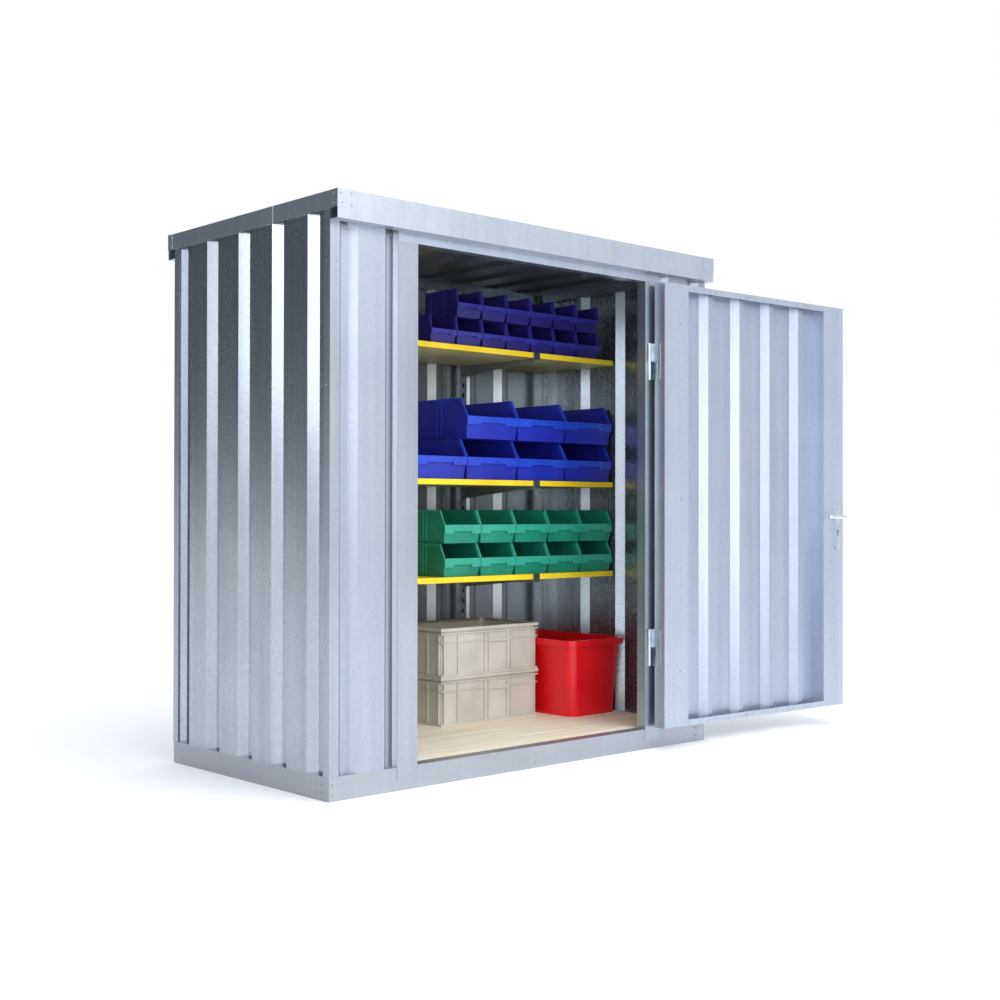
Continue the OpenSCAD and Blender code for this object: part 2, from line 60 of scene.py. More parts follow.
SILL_LO, SILL_HI = box("sill_front")
POST_LO, POST_HI = box("door_post_left")
LINTEL_LO, LINTEL_HI = box("door_lintel")
FASCIA_LO, FASCIA_HI = box("fascia_front")
SIDE_LO, SIDE_HI = box("fascia_left")
WALL_LO, WALL_HI = box("left_wall")
SHELVES = ("shelf_lower", "shelf_middle", "shelf_upper")
FRONT_Y = SILL_LO.y
BACK_Y = box("sill_back")[1].y
LEFT_X = SILL_LO.x
SILL_TOP = SILL_HI.z
ROOF_TOP = FASCIA_HI.z

DOOR_HINGE = next(j for j in frame["joints"] if j["name"] == "door_hinge")
PIN = Vector(DOOR_HINGE["pos_m"])
OPEN_ANGLE = math.radians(177.44)
DOOR_TURN = (Matrix.Translation(PIN) @ Matrix.Rotation(OPEN_ANGLE, 4, "Z")
             @ Matrix.Translation(-PIN))
DOOR_W = 1.275
DOOR_T = 0.060
DOOR_X = 0.6375
STILE_W = 0.153
RIB_FIRST, RIB_PITCH, RIB_COUNT = 0.332, 0.215, 4
DOOR_LO, DOOR_HI = box("door_stile_hinge")


# ---- small mesh tools ----

def block(bm, lo, hi, bevel=0.0, segments=1):
    """A box from lo to hi, with its edges rounded by bevel."""
    lo, hi = Vector(lo), Vector(hi)
    made = bmesh.ops.create_cube(bm, size=1.0)["verts"]
    bmesh.ops.scale(bm, vec=hi - lo, verts=made)
    bmesh.ops.translate(bm, vec=(lo + hi) / 2, verts=made)
    if bevel:
        edges = list({e for v in made for e in v.link_edges})
        bmesh.ops.bevel(bm, geom=edges, offset=bevel, offset_type="OFFSET", affect="EDGES",
                        segments=segments, profile=0.5, material=-1)
    return made


def head(bm, at, axis, radius, height, sides=10):
    """A low rivet or screw head that stands on a surface."""
    turn = Vector((0, 0, 1)).rotation_difference(Vector(axis)).to_matrix().to_4x4()
    place = Matrix.Translation(Vector(at) + Vector(axis) * height / 2) @ turn
    bmesh.ops.create_cone(bm, cap_ends=True, segments=sides, radius1=radius,
                          radius2=radius * 0.55, depth=height, matrix=place)


def rod(bm, start, end, radius, sides=16):
    """A round bar between two points."""
    start, end = Vector(start), Vector(end)
    along = end - start
    turn = Vector((0, 0, 1)).rotation_difference(along).to_matrix().to_4x4()
    bmesh.ops.create_cone(bm, cap_ends=True, segments=sides, radius1=radius,
                          radius2=radius, depth=along.length,
                          matrix=Matrix.Translation((start + end) / 2) @ turn)


def piece(name, bm, material, body, turned=False, replaces=(), smooth=False):
    """Makes the finished mesh an object that rides on its body."""
    if turned:
        bmesh.ops.transform(bm, matrix=DOOR_TURN, verts=bm.verts)
    mesh = bpy.data.meshes.new(name)
    bm.to_mesh(mesh)
    bm.free()
    mesh.materials.append(material)
    if smooth:
        mesh.polygons.foreach_set("use_smooth", [True] * len(mesh.polygons))
        mesh.set_sharp_from_angle(angle=math.radians(32))
    made = bpy.data.objects.new(name, mesh)
    bpy.context.scene.collection.objects.link(made)
    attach(made, body)
    if replaces:
        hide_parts(*replaces)
    return made


def bevelled(obj, width, segments=2, angle=40):
    """Rounds a piece's edges with a Bevel modifier."""
    mod = obj.modifiers.new("edge_round", "BEVEL")
    mod.width = width
    mod.segments = segments
    mod.limit_method = "ANGLE"
    mod.angle_limit = math.radians(angle)
    return obj


def walled(obj, thickness):
    """Gives an open shell its wall, inwards."""
    mod = obj.modifiers.new("wall", "SOLIDIFY")
    mod.thickness = thickness
    mod.offset = -1
    mod.use_even_offset = True
    return obj


# ---- materials ----

def linear(hex_colour):
    """An sRGB hex colour as linear red, green, blue and alpha."""
    parts = [int(hex_colour[i:i + 2], 16) / 255 for i in (1, 3, 5)]
    return [c / 12.92 if c <= 0.04045 else ((c + 0.055) / 1.055) ** 2.4 for c in parts] + [1.0]


def add(tree, kind, links=(), **settings):
    """Adds a node, sets its properties or its inputs, and links other sockets to its inputs."""
    node = tree.nodes.new(kind)
    for key, value in settings.items():
        if hasattr(node, key):
            setattr(node, key, value)
        else:
            node.inputs[key.replace("_", " ")].default_value = value
    for socket, source in links:
        tree.links.new(source, node.inputs[socket])
    return node


def new_material(name):
    """A material with an empty tree: its tree, shader and Object coordinates."""
    made = bpy.data.materials.new(name)
    made.use_nodes = True
    tree = made.node_tree
    tree.nodes.clear()
    shader = tree.nodes.new("ShaderNodeBsdfPrincipled")
    out = tree.nodes.new("ShaderNodeOutputMaterial")
    tree.links.new(shader.outputs["BSDF"], out.inputs["Surface"])
    place = tree.nodes.new("ShaderNodeTexCoord").outputs["Object"]
    return made, tree, shader, place


def ramp(tree, source, stops):
    """A colour ramp with its stops given as place and hex colour."""
    node = add(tree, "ShaderNodeValToRGB", [("Fac", source)])
    elements = node.color_ramp.elements
    while len(elements) < len(stops):
        elements.new(0.5)
    for element, (at, colour) in zip(elements, stops):
        element.position = at
        element.color = linear(colour)
    return node.outputs["Color"]


def spread(tree, source, low, high):
    """Maps a 0 to 1 pattern onto a range."""
    return add(tree, "ShaderNodeMapRange", [("Value", source)], To_Min=low, To_Max=high).outputs[0]


def galvanised_sheet(name, dark, mid, light, rough, spangle=0.010, streak=1.0):
    """Hot-dip galvanised steel: zinc crystals about 10 mm wide, faint runs down the sheet and
    a satin shine that varies from crystal to crystal."""
    made, tree, shader, place = new_material(name)
    cells = add(tree, "ShaderNodeTexVoronoi", [("Vector", place)], Scale=1 / spangle)
    grey = add(tree, "ShaderNodeSeparateColor", [("Color", cells.outputs["Color"])])
    runs_at = add(tree, "ShaderNodeMapping", [("Vector", place)])
    runs_at.inputs["Scale"].default_value = (22, 22, 0.5)
    runs = add(tree, "ShaderNodeTexNoise", [("Vector", runs_at.outputs[0])], Scale=1.0, Detail=4.0)
    cloud = add(tree, "ShaderNodeTexNoise", [("Vector", place)], Scale=3.0, Detail=5.0)
    cell_part = add(tree, "ShaderNodeMath", [(0, grey.outputs[0])], operation="MULTIPLY")
    cell_part.inputs[1].default_value = 0.10
    run_part = add(tree, "ShaderNodeMath", [(0, runs.outputs["Fac"]), (2, cell_part.outputs[0])],
                   operation="MULTIPLY_ADD")
    run_part.inputs[1].default_value = 0.40 * streak
    whole = add(tree, "ShaderNodeMath", [(0, cloud.outputs["Fac"]), (2, run_part.outputs[0])],
                operation="MULTIPLY_ADD")
    whole.inputs[1].default_value = 0.30
    colour = ramp(tree, whole.outputs[0], [(0.25, dark), (0.43, mid), (0.62, light)])
    tree.links.new(colour, shader.inputs["Base Color"])
    shader.inputs["Metallic"].default_value = 0.93
    tree.links.new(spread(tree, whole.outputs[0], rough + 0.03, rough - 0.03),
                   shader.inputs["Roughness"])
    fine = add(tree, "ShaderNodeTexNoise", [("Vector", place)], Scale=260.0, Detail=1.0)
    bump = add(tree, "ShaderNodeBump", [("Height", fine.outputs["Fac"])], Strength=0.015,
               Distance=0.0003)
    broad = add(tree, "ShaderNodeTexNoise", [("Vector", place)], Scale=5.0, Detail=1.0)
    wave = add(tree, "ShaderNodeBump", [("Height", broad.outputs["Fac"]),
                                        ("Normal", bump.outputs[0])],
               Strength=0.15, Distance=0.004)
    tree.links.new(wave.outputs[0], shader.inputs["Normal"])
    return made


def moulded_plastic(name, dark, light, rough, coat=0.0, scatter=0.0):
    """Injection moulded polypropylene: an even dye, a fine spark-eroded grain and soft gloss."""
    made, tree, shader, place = new_material(name)
    cloud = add(tree, "ShaderNodeTexNoise", [("Vector", place)], Scale=6.0, Detail=3.0)
    colour = ramp(tree, cloud.outputs["Fac"], [(0.30, dark), (0.70, light)])
    tree.links.new(colour, shader.inputs["Base Color"])
    grain = add(tree, "ShaderNodeTexNoise", [("Vector", place)], Scale=700.0, Detail=2.0)
    tree.links.new(spread(tree, grain.outputs["Fac"], rough - 0.06, rough + 0.06),
                   shader.inputs["Roughness"])
    bump = add(tree, "ShaderNodeBump", [("Height", grain.outputs["Fac"])], Strength=0.12,
               Distance=0.0004)
    tree.links.new(bump.outputs[0], shader.inputs["Normal"])
    shader.inputs["IOR"].default_value = 1.49
    shader.inputs["Coat Weight"].default_value = coat
    shader.inputs["Subsurface Weight"].default_value = scatter
    return made


def sanded_plywood(name, dark, mid, light):
    """Birch plywood: long pale grain along the board, with a few darker growth bands."""
    made, tree, shader, place = new_material(name)
    along = add(tree, "ShaderNodeMapping", [("Vector", place)])
    along.inputs["Scale"].default_value = (0.7, 14.0, 14.0)
    grain = add(tree, "ShaderNodeTexNoise", [("Vector", along.outputs[0])], Scale=2.2,
                Detail=8.0, Distortion=0.9)
    fibre_at = add(tree, "ShaderNodeMapping", [("Vector", place)])
    fibre_at.inputs["Scale"].default_value = (6.0, 260.0, 260.0)
    fibre = add(tree, "ShaderNodeTexNoise", [("Vector", fibre_at.outputs[0])], Scale=1.0,
                Detail=3.0)
    both = add(tree, "ShaderNodeMath", [(0, fibre.outputs["Fac"]), (2, grain.outputs["Fac"])],
               operation="MULTIPLY_ADD")
    both.inputs[1].default_value = 0.25
    tree.links.new(ramp(tree, both.outputs[0], [(0.45, dark), (0.62, mid), (0.85, light)]),
                   shader.inputs["Base Color"])
    shader.inputs["Roughness"].default_value = 0.62
    bump = add(tree, "ShaderNodeBump", [("Height", fibre.outputs["Fac"])], Strength=0.15,
               Distance=0.0005)
    tree.links.new(bump.outputs[0], shader.inputs["Normal"])
    return made


def slotted_steel(name):
    """Galvanised upright with a row of hook slots, 20 mm tall every 50 mm, painted near-black as the
    shade inside them.
    """
    made, tree, shader, place = new_material(name)
    axis = add(tree, "ShaderNodeSeparateXYZ", [("Vector", place)])
    step = add(tree, "ShaderNodeMath", [(0, axis.outputs["Z"])], operation="MODULO")
    step.inputs[1].default_value = 0.05
    tall = add(tree, "ShaderNodeMath", [(0, step.outputs[0])], operation="LESS_THAN")
    tall.inputs[1].default_value = 0.02
    side = add(tree, "ShaderNodeMath", [(0, axis.outputs["X"])], operation="ABSOLUTE")
    off = add(tree, "ShaderNodeMath", [(0, side.outputs[0])], operation="SUBTRACT")
    off.inputs[1].default_value = 0.495
    near = add(tree, "ShaderNodeMath", [(0, off.outputs[0])], operation="ABSOLUTE")
    in_slot = add(tree, "ShaderNodeMath", [(0, near.outputs[0])], operation="LESS_THAN")
    in_slot.inputs[1].default_value = 0.0045
    slot = add(tree, "ShaderNodeMath", [(0, tall.outputs[0]), (1, in_slot.outputs[0])],
               operation="MULTIPLY")
    cloud = add(tree, "ShaderNodeTexNoise", [("Vector", place)], Scale=30.0, Detail=4.0)
    zinc = ramp(tree, cloud.outputs["Fac"], [(0.3, "#8c9398"), (0.7, "#b4bbc0")])
    mix = add(tree, "ShaderNodeMix", data_type="RGBA")
    tree.links.new(slot.outputs[0], mix.inputs[0])
    tree.links.new(zinc, mix.inputs[6])
    # Painted shade: the slots get near-black where the holes would show shade.
    mix.inputs[7].default_value = linear("#0c0e10")
    tree.links.new(mix.outputs[2], shader.inputs["Base Color"])
    shader.inputs["Metallic"].default_value = 1.0
    shader.inputs["Roughness"].default_value = 0.42
    return made


def coated_board(name):
    """Chipboard shelf with a yellow melamine face: nearly even colour, and a duller,
    darker yellow on the underside as painted shade."""
    made, tree, shader, place = new_material(name)
    chips = add(tree, "ShaderNodeTexVoronoi", [("Vector", place)], Scale=220.0)
    cloud = add(tree, "ShaderNodeTexNoise", [("Vector", place)], Scale=4.0, Detail=4.0)
    both = add(tree, "ShaderNodeMath", [(0, chips.outputs["Distance"]), (2, cloud.outputs["Fac"])],
               operation="MULTIPLY_ADD")
    both.inputs[1].default_value = 0.2
    yellow = ramp(tree, both.outputs[0], [(0.4, "#eec814"), (0.75, "#ffe22c")])
    # Painted shade: faces that point downwards get a duller, darker yellow.
    underside_shade = ramp(tree, both.outputs[0], [(0.4, "#a79f62"), (0.75, "#c9c184")])
    facing = add(tree, "ShaderNodeTexCoord").outputs["Normal"]
    upward = add(tree, "ShaderNodeSeparateXYZ", [("Vector", facing)])
    below = add(tree, "ShaderNodeMath", [(0, upward.outputs["Z"])], operation="LESS_THAN")
    below.inputs[1].default_value = -0.5
    mix = add(tree, "ShaderNodeMix", data_type="RGBA")
    tree.links.new(below.outputs[0], mix.inputs[0])
    tree.links.new(yellow, mix.inputs[6])
    tree.links.new(underside_shade, mix.inputs[7])
    tree.links.new(mix.outputs[2], shader.inputs["Base Color"])
    shader.inputs["Roughness"].default_value = 0.48
    bump = add(tree, "ShaderNodeBump", [("Height", chips.outputs["Distance"])], Strength=0.05,
               Distance=0.0005)
    tree.links.new(bump.outputs[0], shader.inputs["Normal"])
    return made


def powder_coat(name, dark, light):
    """Powder coated steel: mid grey, slightly orange-peeled, satin."""
    made, tree, shader, place = new_material(name)
    peel = add(tree, "ShaderNodeTexNoise", [("Vector", place)], Scale=420.0, Detail=2.0)
    tree.links.new(ramp(tree, peel.outputs["Fac"], [(0.3, dark), (0.7, light)]),
                   shader.inputs["Base Color"])
    shader.inputs["Roughness"].default_value = 0.45
    bump = add(tree, "ShaderNodeBump", [("Height", peel.outputs["Fac"])], Strength=0.2,
               Distance=0.0004)
    tree.links.new(bump.outputs[0], shader.inputs["Normal"])
    return made


def plated_metal(name, dark, light, rough):
    """Bright zinc plate or polished aluminium: smooth metal with faint rub marks."""
    made, tree, shader, place = new_material(name)
    rub = add(tree, "ShaderNodeTexNoise", [("Vector", place)], Scale=30.0, Detail=2.0)
    tree.links.new(ramp(tree, rub.outputs["Fac"], [(0.3, dark), (0.7, light)]),
                   shader.inputs["Base Color"])
    shader.inputs["Metallic"].default_value = 1.0
    tree.links.new(spread(tree, rub.outputs["Fac"], rough - 0.03, rough + 0.04),
                   shader.inputs["Roughness"])
    return made


wall_zinc = galvanised_sheet("galvanised_wall_sheet", "#9fa8b0", "#aeb7bf", "#bbc3cb", 0.27)
inner_zinc = galvanised_sheet("galvanised_back_sheet", "#aeb3b4", "#bbbfc0", "#c7cbcc", 0.32,
                              streak=0.5)
front_zinc = galvanised_sheet("galvanised_front_sheet", "#a9b1bf", "#b4bcc9", "#bfc7d2", 0.36)
roof_zinc = galvanised_sheet("galvanised_roof_sheet", "#9ca4aa", "#aab2b8", "#b8bfc5", 0.34)
frame_zinc = galvanised_sheet("galvanised_frame_steel", "#a4acb5", "#b0b8c1", "#bcc4cc", 0.33,
                              spangle=0.006)
sill_zinc = galvanised_sheet("galvanised_sill_steel", "#b0b3bb", "#bcbfc7", "#c8cbd2", 0.46,
                             spangle=0.005, streak=0.4)
fascia_zinc = galvanised_sheet("galvanised_fascia_steel", "#b2b9c4", "#bdc4cf", "#c8cfd9", 0.36)
door_zinc = galvanised_sheet("galvanised_door_sheet", "#a3aebf", "#afb9c9", "#bac4d2", 0.38)
stile_zinc = galvanised_sheet("galvanised_door_frame", "#afb9c8", "#bac3d1", "#c4cdda", 0.38)
bright_zinc = plated_metal("bright_zinc_plate", "#b4bec8", "#ccd5de", 0.30)
screw_zinc = plated_metal("zinc_plated_screws", "#8a9098", "#a4aab0", 0.35)
lever_aluminium = plated_metal("polished_aluminium", "#d0d3d6", "#f2f4f6", 0.18)
upright_steel = slotted_steel("slotted_galvanised_upright")
bracket_coat = powder_coat("grey_powder_coat", "#5c605c", "#767a72")
floor_ply = sanded_plywood("sanded_birch_plywood", "#e9dcc0", "#f5ebd4", "#fdf7ea")
yellow_board = coated_board("yellow_coated_board")
navy_plastic = moulded_plastic("navy_polypropylene", "#221a66", "#2e2480", 0.42)
blue_plastic = moulded_plastic("blue_polypropylene", "#1c249a", "#2434b6", 0.40)
green_plastic = moulded_plastic("green_polypropylene", "#117a62", "#1e967a", 0.42)
grey_plastic = moulded_plastic("grey_polypropylene", "#bebaae", "#d2cec2", 0.48)
# The trim plastics are lighter copies of the bins' plastics: painted light on rims, front bands and
# ribs.
navy_lit_trim = moulded_plastic("navy_bin_trim_painted_light", "#2c2a8c", "#34369c", 0.36)
blue_lit_trim = moulded_plastic("blue_bin_trim_painted_light", "#1f3fc0", "#2a4fd0", 0.34)
green_lit_trim = moulded_plastic("green_bin_trim_painted_light", "#2b9a80", "#38ac90", 0.36)
red_plastic = moulded_plastic("red_polyethylene", "#e00818", "#f4121f", 0.34, coat=0.15)

FINISH = {
    wall_zinc: ("left_wall", "right_wall"),
    inner_zinc: ("back_wall",),
    front_zinc: ("front_panel_left", "front_panel_right"),
    roof_zinc: ("roof_sheet",),
    frame_zinc: ("corner_posts_front", "corner_posts_back", "door_post_left",
                 "door_post_right", "door_lintel", "top_rail_front", "top_rail_back",
                 "top_rails_side"),
    sill_zinc: ("floor_joists", "sill_front", "sill_back", "sill_left", "sill_right"),
    fascia_zinc: ("fascia_front", "fascia_back", "fascia_left", "fascia_right",
                  "roof_corner_caps"),
    door_zinc: ("door_panel",),
    stile_zinc: ("door_stile_hinge", "door_stile_lock", "door_rail_top",
                 "door_rail_bottom"),
    bright_zinc: ("post_hinge_leaves", "door_hinge_leaves", "lock_plates"),
    screw_zinc: ("lock_cylinder",),
    lever_aluminium: ("door_lever",),
    upright_steel: ("shelf_uprights",),
    bracket_coat: ("shelf_brackets",),
    floor_ply: ("floor_board",),
    yellow_board: SHELVES,
}
for finish, nodes in FINISH.items():
    for node in nodes:
        for place in frame["nodes"][node].material_slots:
            place.material = finish


# ---- camera, light and floor ----

def make_camera():
    data = bpy.data.cameras.new("camera")
    data.lens = 50.95
    data.sensor_width = 36
    camera = bpy.data.objects.new("camera", data)
    camera.location = (-4.0319, -4.7097, 1.0485)
    camera.rotation_euler = (math.radians(90.428), math.radians(-0.087), math.radians(-42.498))
    bpy.context.scene.collection.objects.link(camera)
    bpy.context.scene.camera = camera


def area_light(name, at, target, size, power, colour="#ffffff"):
    data = bpy.data.lights.new(name, "AREA")
    data.shape = "SQUARE"
    data.size = size
    data.energy = power
    data.color = linear(colour)[:3]
    made = bpy.data.objects.new(name, data)
    made.location = at
    aim = Vector(target) - Vector(at)
    made.rotation_euler = aim.to_track_quat("-Z", "Y").to_euler()
    bpy.context.scene.collection.objects.link(made)


def overhead_sun(strength):
    """An even, very soft light from above that keeps the floor pale to its edge."""
    data = bpy.data.lights.new("overhead_light", "SUN")
    data.energy = strength
    data.angle = math.radians(70)
    made = bpy.data.objects.new("overhead_light", data)
    made.rotation_euler = (math.radians(18), math.radians(10), 0)
    bpy.context.scene.collection.objects.link(made)


def studio_world():
    """A white studio with a dark curtain to the left and behind, which the left wall mirrors."""
    world = bpy.data.worlds.new("studio")
    bpy.context.scene.world = world
    world.use_nodes = True
    tree = world.node_tree
    tree.nodes.clear()
    way = add(tree, "ShaderNodeTexCoord").outputs["Generated"]
    lobe = add(tree, "ShaderNodeVectorMath", [(0, way)], operation="DOT_PRODUCT")
    lobe.inputs[1].default_value = Vector((-0.66, 0.72, 0.22)).normalized()
    curtain = add(tree, "ShaderNodeMapRange", [("Value", lobe.outputs["Value"])],
                  interpolation_type="SMOOTHSTEP", From_Min=0.62, From_Max=0.90,
                  To_Min=0.0, To_Max=1.0)
    shade = add(tree, "ShaderNodeMix", data_type="RGBA")
    tree.links.new(curtain.outputs[0], shade.inputs[0])
    shade.inputs[6].default_value = linear("#eef2fa")
    shade.inputs[7].default_value = linear("#2c363c")
    seen = add(tree, "ShaderNodeBackground", Strength=1.0)
    seen.inputs["Color"].default_value = (1, 1, 1, 1)
    lit = add(tree, "ShaderNodeBackground", [("Color", shade.outputs[2])], Strength=1.0)
    ray = add(tree, "ShaderNodeLightPath")
    both = add(tree, "ShaderNodeMixShader", [(0, ray.outputs["Is Camera Ray"]),
                                             (1, lit.outputs[0]), (2, seen.outputs[0])])
    add(tree, "ShaderNodeOutputWorld", [("Surface", both.outputs[0])])


def pale_floor():
    bm = bmesh.new()
    bmesh.ops.create_grid(bm, x_segments=1, y_segments=1, size=300)
    mesh = bpy.data.meshes.new("studio_floor")
    bm.to_mesh(mesh)
    bm.free()
    made, tree, shader, place = new_material("pale_floor_paint")
    shader.inputs["Base Color"].default_value = linear("#fbfbfb")
    shader.inputs["Roughness"].default_value = 0.9
    mesh.materials.append(made)
    floor = bpy.data.objects.new("studio_floor", mesh)
    bpy.context.scene.collection.objects.link(floor)


make_camera()
studio_world()
pale_floor()
area_light("key_light", (0.5, -5.0, 4.5), (0, 0, 1.0), 3.0, 100)
area_light("side_light", (-6.0, -2.5, 3.0), (-1, 0, 1.0), 2.5, 60, "#f4f6ff")
area_light("doorway_light", (-1.6, -3.6, 1.4), (0.3, 0, 1.0), 2.2, 32)
overhead_sun(1.2)
bpy.context.scene.view_settings.view_transform = "Standard"


# ---- bins ----

def bin_shell(bm, at, size, lip, foot):
    """An open bin: side walls that slope to a low front lip, and a foot set back."""
    made = bmesh.ops.create_cube(bm, size=1.0)["verts"]
    size = Vector(size)
    bmesh.ops.scale(bm, vec=size, verts=made)
    bmesh.ops.translate(bm, vec=Vector(at) + size / 2, verts=made)
    faces = list({f for v in made for f in v.link_faces})
    edges = list({e for v in made for e in v.link_edges})
    lip_top, band, slope = lip
    cut = bmesh.ops.bisect_plane(bm, geom=made + edges + faces, dist=1e-6,
                                 plane_co=Vector(at) + Vector((0, 0, lip_top)),
                                 plane_no=Vector((0, -(size.z - lip_top), slope)),
                                 clear_outer=True)
    rest = cut["geom"]
    cut = bmesh.ops.bisect_plane(bm, geom=[g for g in rest if g.is_valid], dist=1e-6,
                                 plane_co=Vector(at) + Vector((0, 0, lip_top - band)),
                                 plane_no=Vector((0, 0, 1)))
    rest = [g for g in cut["geom"] if g.is_valid]
    verts = [g for g in rest if isinstance(g, bmesh.types.BMVert)]
    middle = at[0] + size.x / 2
    for v in verts:
        if v.co.z < at[2] + 1e-5:
            v.co.x += math.copysign(0.006, middle - v.co.x)
            if v.co.y < at[1] + 1e-5:
                v.co.y += foot
    top = [g for g in rest if isinstance(g, bmesh.types.BMFace)
           and g.calc_center_median().z > at[2] + size.z - 1e-5]
    bmesh.ops.delete(bm, geom=top, context="FACES_ONLY")


def bin_trim(bm, at, size, lip):
    """Rim beads, the front band with its finger notch, and ribs down the sides of a bin."""
    w, d, h = size
    lip_top, band, slope = lip
    x, y, z = at
    bead = 0.004
    notch = w * 0.26
    block(bm, (x + 0.001, y, z + lip_top - band), (x + notch, y + 0.008, z + lip_top),
          0.0008)
    block(bm, (x + w - notch, y, z + lip_top - band),
          (x + w - 0.001, y + 0.011, z + lip_top), 0.0008)
    block(bm, (x + notch, y + 0.0008, z + lip_top - band * 0.72),
          (x + w - notch, y + 0.011, z + lip_top), 0.0008)
    for side in (x, x + w - bead):
        rail = block(bm, (side, y + 0.001, z + lip_top - 0.001), (side + bead, y + 0.012, z + h))
        for v in rail:
            if v.co.z > z + lip_top + 0.01:
                v.co.y += slope
    block(bm, (x, y + d - 0.005, z + h - 0.010), (x + w, y + d, z + h), 0.0008)
    for side in (x, x + w - bead):
        block(bm, (side, y + slope, z + h - 0.008), (side + bead, y + d, z + h), 0.0008)
    for share in (0.36, 0.42, 0.80):
        rib = y + d * share
        for side in (x + 0.0005, x + w - 0.0022):
            block(bm, (side, rib, z + 0.01), (side + 0.0017, rib + 0.006, z + h - 0.008))


def bin_rows(name, node, plastic, lit_trim_plastic, size, lip, foot, columns, gap):
    """Fills the place of a node with detailed bins, from its right-hand end leftwards."""
    lo, hi = box(node)
    shells, trims = bmesh.new(), bmesh.new()
    for layer, count in enumerate(columns):
        for column in range(1, count + 1):
            at = (hi.x - column * size[0] - (column - 1) * gap, lo.y,
                  lo.z + layer * (size[2] + 0.0003))
            inner = (at[0] + 0.003, at[1] + 0.009, at[2])
            bin_shell(shells, inner, (size[0] - 0.006, size[1] - 0.009, size[2]), lip, foot - 0.009)
            bin_trim(trims, at, size, lip)
    shell = piece(name + "_shells", shells, plastic, CONTAINER, replaces=(node,))
    bevelled(walled(shell, 0.0025), 0.0012, 2)
    # The trim takes the lighter copy of the plastic, as painted light.
    piece(name + "_trim", trims, lit_trim_plastic, CONTAINER)


bin_rows("small_bin", "small_bins", navy_plastic, navy_lit_trim,
         (0.148, 0.230, 0.125),
         (0.063, 0.025, 0.012), 0.016, (7, 6), 0.002)
bin_rows("large_bin", "large_bins", blue_plastic, blue_lit_trim,
         (0.308, 0.500, 0.182),
         (0.100, 0.038, 0.048), 0.016, (4, 3), 0.002)
bin_rows("green_bin", "green_bins", green_plastic, green_lit_trim,
         (0.211, 0.350, 0.147),
         (0.082, 0.040, 0.032), 0.016, (5, 5), 0.002)


# ---- crates and tub ----

def crate_shell(bm, lo, hi, taper):
    made = bmesh.ops.create_cube(bm, size=1.0)["verts"]
    bmesh.ops.scale(bm, vec=hi - lo, verts=made)
    bmesh.ops.translate(bm, vec=(lo + hi) / 2, verts=made)
    edges = [e for e in {e for v in made for e in v.link_edges}
             if abs((e.verts[0].co - e.verts[1].co).normalized().z) > 0.9]
    bmesh.ops.bevel(bm, geom=edges, offset=0.022, offset_type="OFFSET", affect="EDGES",
                    segments=5, profile=0.5, material=-1)
    middle = (lo + hi) / 2
    mine = [v for v in bm.verts if lo.z - 1e-4 < v.co.z < hi.z + 1e-4]
    for v in mine:
        v.co.x += taper if v.co.x < middle.x else -taper
        v.co.y += taper if v.co.y < middle.y else -taper
    top = [f for f in bm.faces if f.normal.z > 0.9 and f.calc_center_median().z > hi.z - 1e-4]
    bmesh.ops.delete(bm, geom=top, context="FACES_ONLY")


def crate_trim(bm, lo, hi):
    """Rim, ledge and ribs on all four sides of a stacking crate."""
    inset = 0.010
    length, width, height = hi - lo
    for z0, z1, proud in ((height - 0.014, height, 0.0), (height - 0.028, height - 0.022, 0.002),
                          (height * 0.70, height * 0.70 + 0.005, 0.004), (0.0, 0.010, 0.003)):
        block(bm, (lo.x + proud, lo.y + proud, lo.z + z0),
              (hi.x - proud, lo.y + inset + 0.002, lo.z + z1), 0.0008)
        block(bm, (lo.x + proud, hi.y - inset - 0.002, lo.z + z0),
              (hi.x - proud, hi.y - proud, lo.z + z1), 0.0008)
        block(bm, (lo.x + proud, lo.y + inset, lo.z + z0),
              (lo.x + inset + 0.002, hi.y - inset, lo.z + z1), 0.0008)
        block(bm, (hi.x - inset - 0.002, lo.y + inset, lo.z + z0),
              (hi.x - proud, hi.y - inset, lo.z + z1), 0.0008)
    for share in (0.035, 0.17, 0.44, 0.48, 0.67, 0.71, 0.93, 0.965):
        at = lo.x + share * length
        for y0, y1 in ((lo.y + 0.003, lo.y + inset), (hi.y - inset, hi.y - 0.003)):
            block(bm, (at - 0.0025, y0, lo.z + 0.008), (at + 0.0025, y1, hi.z - 0.024))
    for share in (0.06, 0.25, 0.75, 0.94):
        at = lo.y + share * width
        for x0, x1 in ((lo.x + 0.003, lo.x + inset), (hi.x - inset, hi.x - 0.003)):
            block(bm, (x0, at - 0.0025, lo.z + 0.008), (x1, at + 0.0025, hi.z - 0.024))
    for y0, y1 in ((lo.y + 0.001, lo.y + inset), (hi.y - inset, hi.y - 0.001)):
        block(bm, (lo.x + 0.48 * length, y0, lo.z + 0.66 * height),
              (lo.x + 0.67 * length, y1, lo.z + 0.72 * height), 0.0015)


def grey_crates():
    lo, hi = box("grey_crates")
    tall = (hi.z - lo.z - 0.0003) / 2
    shells, trims = bmesh.new(), bmesh.new()
    for layer in (0, 1):
        a = Vector((lo.x, lo.y, lo.z + layer * (tall + 0.0003)))
        b = Vector((hi.x, hi.y, a.z + tall))
        crate_shell(shells, a, b, 0.009)
        crate_trim(trims, a, b)
    shell = piece("crate_shells", shells, grey_plastic, CONTAINER,
                  replaces=("grey_crates",))
    bevelled(walled(shell, 0.003), 0.001, 1)
    piece("crate_rims_and_ribs", trims, grey_plastic, CONTAINER)


